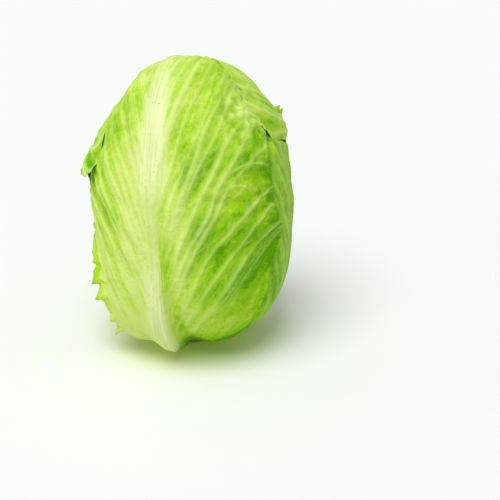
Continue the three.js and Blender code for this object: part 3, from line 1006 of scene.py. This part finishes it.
def stem_material():
    """Damp ivory pith in a green skin, and a rusty film that tells where the knife went."""
    material, add = new_material("stem, cut pith with dried latex")
    place = add("TexCoord").outputs["Object"]
    fibres = add("Mapping", None, {"Scale": [n / MM for n in FIBRES_PER_MM]}, Vector=place)
    grain = add("TexNoise", None, {"Scale": 1.0, "Detail": 3.0}, Vector=fibres)
    blotch = add("TexNoise", None, {"Scale": BLOTCHES_PER_MM / MM, "Detail": 4.0}, Vector=place)
    pith = add("Mix", COLOURS, {"A": srgb("#f2f4d8"), "B": srgb("#d9e6a8")}, Factor=grain)
    flat = add("VectorMath", TIMES, {1: (1, 1, 0)}, i0=place)
    radius = add("VectorMath", LENGTH, i0=flat)
    skin = add("MapRange", None, {"From Min": 13.5 * MM, "From Max": 16.5 * MM}, Value=radius)
    flesh = add("Mix", COLOURS, {"B": srgb("#a9c75c")}, Factor=skin, A=pith)

    height = add("SeparateXYZ", Vector=place).outputs["Z"]
    low = add("MapRange", None, {"From Min": MM, "From Max": 0.0}, Value=height)
    rind = add("MapRange", None, {"From Min": 7 * MM, "From Max": 17 * MM, "To Min": 0.25},
               Value=radius)
    film = add("Math", TIMES, i0=low, i1=rind)
    patchy = add("Math", {**TIMES, "use_clamp": True}, i0=film, i1=blotch)
    colour = add("Mix", COLOURS, {"B": srgb("#b5703c")}, Factor=patchy, A=flesh)
    bump = add("Bump", None, {"Strength": 0.5, "Distance": 0.4 * MM}, Height=grain)
    shader = add("BsdfPrincipled", None, {
        "IOR": 1.4, "Roughness": 0.5, "Subsurface Weight": 0.15,
        "Subsurface Radius": (2 * MM, 2 * MM, MM), "Subsurface Scale": 1.0,
    }, Base_Color=colour, Normal=bump)
    return finished(material, add, shader)


STEM_FINISH = stem_material()

# %% Make the stem


def turned_shell(profile, around, wobble):
    """A closed shape turned about the axis; `wobble` moves each point out by millimetres."""
    profile = np.array(profile)
    rings, (foot, top) = profile[1:-1], profile[[0, -1], 1]
    angle = np.linspace(0, 2 * np.pi, around, endpoint=False)
    radius = rings[:, :1] + wobble(rings[:, 1:], angle)
    ring = np.stack([radius * np.cos(angle), radius * np.sin(angle), rings[:, 1:] + 0 * radius], -1)
    points = np.concatenate([ring.reshape(-1, 3), [[0, 0, foot], [0, 0, top]]])
    ids = np.arange(radius.size).reshape(radius.shape)
    ahead = np.roll(ids, -1, 1)
    corners = np.stack([ids[:-1], ahead[:-1], ahead[1:], ids[1:]], -1)
    faces = corners.reshape(-1, 4).tolist()
    faces += [(radius.size, int(b), int(a)) for a, b in zip(ids[0], ahead[0])]
    faces += [(radius.size + 1, int(a), int(b)) for a, b in zip(ids[-1], ahead[-1])]
    return points, faces


def stem_wobble(height, angle):
    """The low ridges that run down from the leaves."""
    ridges = 0.35 * np.sin(5 * angle + height / 9) + 0.2 * np.sin(11 * angle)
    return (ridges - 0.55) * smoothstep(height, STEM_BEVEL, 6)


cut_face = [(r, 0.0) for r in np.linspace(1, STEM_CUT - STEM_BEVEL, 14)]
taper = [(mix(STEM_CUT, STEM_TIP, s), mix(STEM_TAPER, STEM_HEIGHT, s))
         for s in np.linspace(0, 1, 40)]
stem_profile = [(0, 0), *cut_face, (STEM_CUT, STEM_BEVEL), *taper,
                (STEM_TIP * 0.5, STEM_HEIGHT), (0, STEM_HEIGHT)]
points, faces = turned_shell(stem_profile, 72, stem_wobble)
add_piece("stem", points, faces, STEM_FINISH)
print("stem faces:", len(faces))

# %% Make the heart
low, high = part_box("heart")
heart_low, heart_high, heart_radius = low.z / MM, high.z / MM, high.x / MM


def heart_wobble(height, angle):
    """The twisted folds of a closed bud."""
    share = (height - heart_low) / (heart_high - heart_low)
    folds = np.sin(3 * angle + 7 * share) + 0.6 * np.sin(7 * angle - 11 * share)
    return 0.7 * (folds - 1.3) * np.sin(np.pi * np.clip(share, 0, 1)) ** 0.5


bulb = [(heart_radius * math.sin(math.pi * mix(0.22, 1, s)) ** 0.6, mix(heart_low, heart_high, s))
        for s in np.linspace(0, 1, 60)[1:-1]]
heart_profile = [(0, heart_low), (STEM_TIP * 0.6, heart_low), *bulb, (0, heart_high)]
points, faces = turned_shell(heart_profile, 96, heart_wobble)
heart = add_piece("heart", points, faces, INNER_FINISH)
plain = {"greenness": 0.85}  # no veins, no midrib and no margin
keep_masks(heart, [np.full(len(points), plain.get(name, 0), np.float32) for name in MASKS])
for name in LEAF_UVS:
    heart.data.uv_layers.new(name=name)
print("heart faces:", len(faces))

# %% [markdown]
# ## The studio
# The head stands in a bright white sweep: soft light from everywhere, a broad lamp above and to
# the left, a low window that grazes the left side, and a floor that throws light back under the
# belly. Leaves are thin, so some light comes through them and tints the floor green round the
# foot. That could be traced, at the cost of a noisy shadow, so painted light stands for it: the
# paper's colour is painted green round the foot, and a green glow that only the camera sees lifts
# the shadow there. The floor is lit to just under white, which keeps its soft shadow, and the
# world is white to the camera and in reflections.

# %% Floor, world and lamps
FLOOR_REACH = 8.0  # metres to each edge, too far off to show


def floor_material():
    """Matt paper that nobody notices: it has only to hold the shadow and the painted green light
    round the foot.
    """
    material, add = new_material("floor, white matt paper")
    place = add("TexCoord").outputs["Object"]
    seen = add("LightPath").outputs["Is Camera Ray"]
    grain = add("TexNoise", None, {"Scale": 0.9 / MM, "Detail": 2.0}, Vector=place)
    bump = add("Bump", None, {"Strength": 0.05, "Distance": 0.1 * MM}, Height=grain)
    away = add("VectorMath", LENGTH, i0=place)
    # painted light: near the foot the paper is painted green and a camera-only glow lifts the
    # shadow
    clear = add("MapRange", SMOOTHLY, {"From Min": 20 * MM, "From Max": 80 * MM}, Value=away)
    tinted = add("Mix", COLOURS, {"A": srgb("#dfeca0"), "B": srgb("#f4f7f5")}, Factor=clear)
    thrown_back = add("Mix", COLOURS, {"A": srgb("#dce4c8")}, Factor=seen, B=tinted)
    under = add("MapRange", SMOOTHLY,
                {"From Min": 22 * MM, "From Max": 55 * MM, "To Min": 0.3, "To Max": 0.0},
                Value=away)
    glow = add("Math", TIMES, i0=under, i1=seen)
    shader = add("BsdfPrincipled", None,
                 {"Roughness": 0.9, "Specular IOR Level": 0.1, "Emission Color": srgb("#8da83a")},
                 Base_Color=thrown_back, Emission_Strength=glow, Normal=bump)
    return finished(material, add, shader)


corners = [(x * FLOOR_REACH, y * FLOOR_REACH, 0) for x, y in ((-1, -1), (1, -1), (1, 1), (-1, 1))]
floor = add_mesh("floor", corners, [(0, 1, 2, 3)], floor_material())

world = bpy.data.worlds.new("white sweep")
bpy.context.scene.world = world
world.use_nodes = True
add = cleared(world.node_tree)
ray = add("LightPath").outputs
seen = add("Math", LARGER, i0=ray["Is Camera Ray"], i1=ray["Is Glossy Ray"])
seen = add("Math", LARGER, i0=seen, i1=ray["Is Transmission Ray"])
lit = add("Background", None, {"Color": srgb("#ffffff"), "Strength": 0.45})
white = add("Background", None, {"Color": srgb("#fafefd"), "Strength": 1.0})
either = add("MixShader", i0=seen, i1=lit, i2=white)
add("OutputWorld", Surface=either)


def add_sun(name, towards, strength, angle):
    lamp = bpy.data.lights.new(name, "SUN")
    lamp.energy, lamp.angle = strength, math.radians(angle)
    holder = add_object(name, lamp)
    holder.rotation_euler = Vector(towards).to_track_quat("-Z", "Y").to_euler()


add_sun("broad lamp above", (0.24, 0.4, -1.0), 2.03, 40)
add_sun("window low at the left", (0.8, 0.55, -0.08), 0.18, 30)

# %% [markdown]
# ## The camera
# The camera stands 0.9 m away and looks down by about 22 degrees, with a long lens that keeps the
# head's upright lines nearly parallel.

# %% Camera
camera = bpy.data.cameras.new("camera")
camera.lens, camera.sensor_width = 94.9, 36.0
camera.clip_start, camera.clip_end = 0.05, 60.0
viewer = add_object("camera", camera)
viewer.location = (0, -0.8345, 0.4351)
aim = Vector((0.0398, -0.01205, 0.0681))
viewer.rotation_euler = (aim - viewer.location).to_track_quat("-Z", "Y").to_euler()
bpy.context.scene.camera = viewer
bpy.context.scene.view_settings.view_transform = "Standard"
print("camera to aim, m:", round((aim - viewer.location).length, 2))
